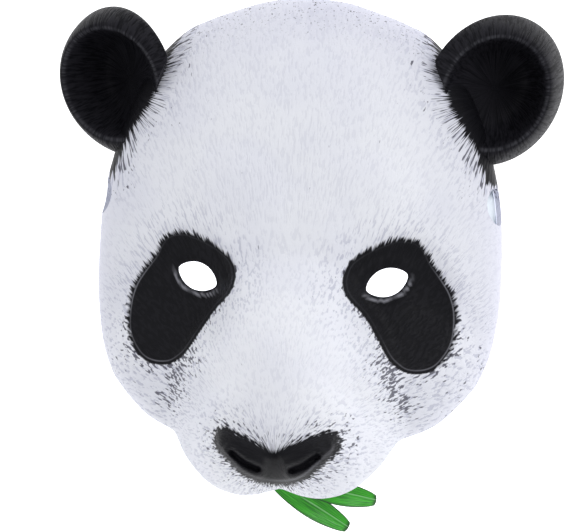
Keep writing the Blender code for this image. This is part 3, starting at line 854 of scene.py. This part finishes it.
def ear_place(local, name):
    """From an ear's own round coordinates, with its rim in the plane z = 0, to face coordinates."""
    side, outward, downward = EARS[name]
    lean = np.array(Matrix.Rotation(-side * EAR_LEAN, 3, "Z"))
    turn = np.array(Matrix.Rotation(side * outward, 3, "Y") @ Matrix.Rotation(downward, 3, "X"))
    points = (local * (EAR_HALF_WIDTH, EAR_HALF_LENGTH, 1)) @ lean.T
    points[:, 2] += side * points[:, 0] * math.tan(EAR_BASE_SLOPE) * points[:, 2] / EAR_DEPTH
    return points @ turn.T + (side * EAR_MIDDLE[0], EAR_MIDDLE[1], EAR_RIM_HEIGHT)


def ear_local(points, name):
    """The reverse of ear_place."""
    side, outward, downward = EARS[name]
    lean = np.array(Matrix.Rotation(-side * EAR_LEAN, 3, "Z"))
    turn = np.array(Matrix.Rotation(side * outward, 3, "Y") @ Matrix.Rotation(downward, 3, "X"))
    local = (points - (side * EAR_MIDDLE[0], EAR_MIDDLE[1], EAR_RIM_HEIGHT)) @ turn
    local[:, 2] /= 1 + side * local[:, 0] * math.tan(EAR_BASE_SLOPE) / EAR_DEPTH
    return (local @ lean) / (EAR_HALF_WIDTH, EAR_HALF_LENGTH, 1)


class MASK_OT_ears(bpy.types.Operator):
    """Builds the two cupped ears and cuts them to the sides of the head"""

    bl_idname = "mask.ears"
    bl_label = "Ears"

    def execute(self, context):
        finish = ear_material(context.scene.mask_finish)
        rim = whole_rim(0.006, 0.006)
        rows = np.array(EAR_SECTION, float)
        fine = np.array(smooth_curve(np.vstack([rows[1] * (-1, 1), rows, rows[-2] * (-1, 1)]), lambda b, c: 5))
        fine = np.vstack([fine, rows[-1]])
        for name in EARS:
            bm = bmesh.new()
            verts = [bm.verts.new((abs(out), 0, (up - 1) * EAR_DEPTH)) for out, up in fine]
            edges = [bm.edges.new(pair) for pair in zip(verts, verts[1:])]
            bmesh.ops.spin(
                bm,
                geom=verts + edges,
                axis=(0, 0, 1),
                cent=(0, 0, 0),
                angle=math.tau,
                steps=EAR_SIDES,
                use_merge=True,
            )
            bmesh.ops.remove_doubles(bm, verts=bm.verts, dist=1e-6)
            bmesh.ops.recalc_face_normals(bm, faces=bm.faces)
            placed = ear_place(np.array([vert.co for vert in bm.verts]), name)
            for vert, point in zip(bm.verts, placed):
                vert.co = point
            bmesh.ops.recalc_face_normals(bm, faces=bm.faces)
            ear = object_of("mask_" + name, bm, [finish])
            cut_away(ear, head_solid(rim))
            cut_away(ear, inner_side(EARS[name][0]))
            local = ear_local(coordinates(ear.data), name)
            radius = np.hypot(local[:, 0], local[:, 1])
            safe = np.where(radius > 1e-6, radius, 1)
            flow = np.stack([local[:, 0] / safe * 0.05, local[:, 1] / safe * 0.05, local[:, 2] * 0.25], axis=-1)
            store(ear.data, "flow", flow)
            store(ear.data, "band", smooth(radius, 0.72, 0.80))
            # Where the painted highlight along the ear's rim runs
            store(ear.data, "rim_highlight", smooth(np.abs(radius - 0.75), 0.035, 0.010))
            ear.data.transform(Matrix.Translation(face_offset()))
            finish_piece(ear, name)
        return {"FINISHED"}


def head_solid(rim):
    """The space that the head fills, a little less, so that the ears sink into its wall."""
    bm = bmesh.new()
    edges = add_sheet(bm, skin(rim, 60, lift=-EAR_SINK), 0, True)
    pulled = bmesh.ops.extrude_edge_only(bm, edges=list(set(edges)))
    for part in pulled["geom"]:
        if isinstance(part, bmesh.types.BMVert):
            part.co.z = -2 * TRIM_DEPTH
    bmesh.ops.holes_fill(bm, edges=[edge for edge in bm.edges if edge.is_boundary], sides=0)
    bmesh.ops.recalc_face_normals(bm, faces=bm.faces)
    return bm


def inner_side(side):
    """The space on the face's side of the border where the black of an ear's root begins."""
    border = [row for row in EAR_ROOT_OUTLINE if row[0] < 100 and row[1] < 150]
    outline = np.array(border + [(20, 50), (20, 150), (62, 150)], float) * MILLIMETRE
    bm = bmesh.new()
    verts = [bm.verts.new((side * x, y, -TRIM_DEPTH)) for x, y in outline]
    pulled = bmesh.ops.extrude_face_region(bm, geom=[bm.faces.new(verts)])
    moved = [part for part in pulled["geom"] if isinstance(part, bmesh.types.BMVert)]
    bmesh.ops.translate(bm, verts=moved, vec=(0, 0, 2 * DOME_DEPTH))
    bmesh.ops.recalc_face_normals(bm, faces=bm.faces)
    return bm


class MASK_OT_leaves(bpy.types.Operator):
    """Builds the two bamboo leaves under the lip"""

    bl_idname = "mask.leaves"
    bl_label = "Leaves"

    def execute(self, context):
        finish = leaf_material(context.scene.mask_finish)
        for name, (length, width, lean, out, down, pitch) in LEAVES.items():
            bm = bmesh.new()
            bmesh.ops.create_grid(bm, x_segments=72, y_segments=24, size=0.5)
            layer_side = bm.verts.layers.float.new("side")
            layer_along = bm.verts.layers.float.new("along")
            for vert in bm.verts:
                along, side = vert.co.x + 0.5, vert.co.y * 2
                vert[layer_side], vert[layer_along] = side, along
                across = side / 2 * width * math.sin(math.pi * (0.12 + 0.78 * along)) ** 0.7
                fold = math.tan(LEAF_FOLD) * min(1, max(0, 2.5 * along - 0.6))
                blunt = -0.0008 * max(0, along - 0.9) / 0.1 * side * side
                ripple = 0.0003 * math.sin(along * 9 + side * 2)
                rise = math.sqrt(across * across + 0.0006**2) - 0.0006
                vert.co = (along * length + blunt, across, rise * fold + ripple * along)
            bmesh.ops.solidify(bm, geom=bm.faces[:], thickness=LEAF_THICKNESS)
            bmesh.ops.recalc_face_normals(bm, faces=bm.faces)
            root_top = max(vert.co.z for vert in bm.verts if vert.co.x < length / 10)
            root = Vector((out * HALF_FACE, -down * LIP_DROP, LIP_HEIGHT - CLEARANCE - LIP_ROLL - root_top))
            turn = Matrix.Rotation(lean, 4, "Z") @ Matrix.Rotation(pitch, 4, "Y")
            place = Matrix.Translation(face_offset() + root) @ turn
            bmesh.ops.transform(bm, verts=bm.verts, matrix=place)
            leaf = object_of("mask_" + name, bm, [finish], math.radians(60))
            finish_piece(leaf, name)
        return {"FINISHED"}


class MASK_OT_strap(bpy.types.Operator):
    """Gives the elastic strap its woven finish"""

    bl_idname = "mask.strap"
    bl_label = "Strap"

    def execute(self, context):
        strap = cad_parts["strap"]
        finish = strap_material(context.scene.mask_finish)
        for slot in strap.material_slots:
            slot.material = finish
        return {"FINISHED"}


class MASK_OT_stage(bpy.types.Operator):
    """Sets the pale floor, the soft light and the camera"""

    bl_idname = "mask.stage"
    bl_label = "Stage"

    def execute(self, context):
        settings = context.scene.mask_stage
        scene = context.scene
        offset = face_offset()

        bm = bmesh.new()
        bmesh.ops.create_grid(bm, x_segments=1, y_segments=1, size=6.0)
        made, tree, shader = new_material("floor")
        shader.inputs["Base Color"].default_value = (0.9, 0.9, 0.9, 1.0)
        shader.inputs["Roughness"].default_value = 0.9
        shader.inputs["Emission Color"].default_value = (1.0, 1.0, 1.0, 1.0)
        shader.inputs["Emission Strength"].default_value = settings.floor_glow
        floor = object_of("floor", bm, [made])

        world = bpy.data.worlds.new("studio")
        world.use_nodes = True
        background = world.node_tree.nodes["Background"]
        background.inputs["Color"].default_value = (0.97, 0.98, 1.0, 1.0)
        background.inputs["Strength"].default_value = settings.world
        scene.world = world
        scene.view_settings.view_transform = "Standard"

        for name, place, size, power in (
            ("key", (0.75, 0.65, 1.0), 0.7, settings.key),
            ("fill", (-0.9, -0.2, 1.1), 1.0, settings.key * 0.15),
        ):
            light = bpy.data.lights.new(name, "AREA")
            light.shape = "DISK"
            light.size = size
            light.energy = power
            lamp = bpy.data.objects.new(name, light)
            lamp.location = Vector(place) + offset
            lamp.rotation_euler = (offset - lamp.location).to_track_quat("-Z", "Y").to_euler()
            scene.collection.objects.link(lamp)

        target = Vector((-0.0033, 0.0064, 0.076)) + offset
        away = Vector((math.sin(settings.yaw), 0, math.cos(settings.yaw)))
        level = Vector((math.cos(settings.yaw), 0, -math.sin(settings.yaw)))
        up = Vector((0, 1, 0))
        right = math.cos(settings.roll) * level + math.sin(settings.roll) * up
        top = math.cos(settings.roll) * up - math.sin(settings.roll) * level
        data = bpy.data.cameras.new("camera")
        data.sensor_fit = "HORIZONTAL"
        data.sensor_width = 36.0
        data.lens = settings.distance / settings.pixel * data.sensor_width / 569
        camera = bpy.data.objects.new("camera", data)
        matrix = Matrix((right, top, away)).transposed().to_4x4()
        camera.matrix_world = Matrix.Translation(target + away * settings.distance) @ matrix
        scene.collection.objects.link(camera)
        scene.camera = camera
        return {"FINISHED"}


class MASK_PT_panel(bpy.types.Panel):
    bl_label = "Panda half mask"
    bl_idname = "MASK_PT_panel"
    bl_space_type = "VIEW_3D"
    bl_region_type = "UI"
    bl_category = "Mask"

    def draw(self, context):
        layout = self.layout
        for operator in OPERATORS:
            layout.operator(operator.bl_idname)
        for settings in (context.scene.mask_finish, context.scene.mask_stage):
            for name in settings.__annotations__:
                layout.prop(settings, name)


OPERATORS = (MASK_OT_face, MASK_OT_ears, MASK_OT_leaves, MASK_OT_strap, MASK_OT_stage)
CLASSES = (MaskFinishSettings, MaskStageSettings) + OPERATORS + (MASK_PT_panel,)


def register():
    for made in CLASSES:
        bpy.utils.register_class(made)
    bpy.types.Scene.mask_finish = bpy.props.PointerProperty(type=MaskFinishSettings)
    bpy.types.Scene.mask_stage = bpy.props.PointerProperty(type=MaskStageSettings)


def unregister():
    del bpy.types.Scene.mask_stage
    del bpy.types.Scene.mask_finish
    for made in reversed(CLASSES):
        bpy.utils.unregister_class(made)


def main():
    register()
    bpy.ops.mask.face()
    bpy.ops.mask.ears()
    bpy.ops.mask.leaves()
    bpy.ops.mask.strap()
    bpy.ops.mask.stage()


if __name__ == "__main__":
    main()
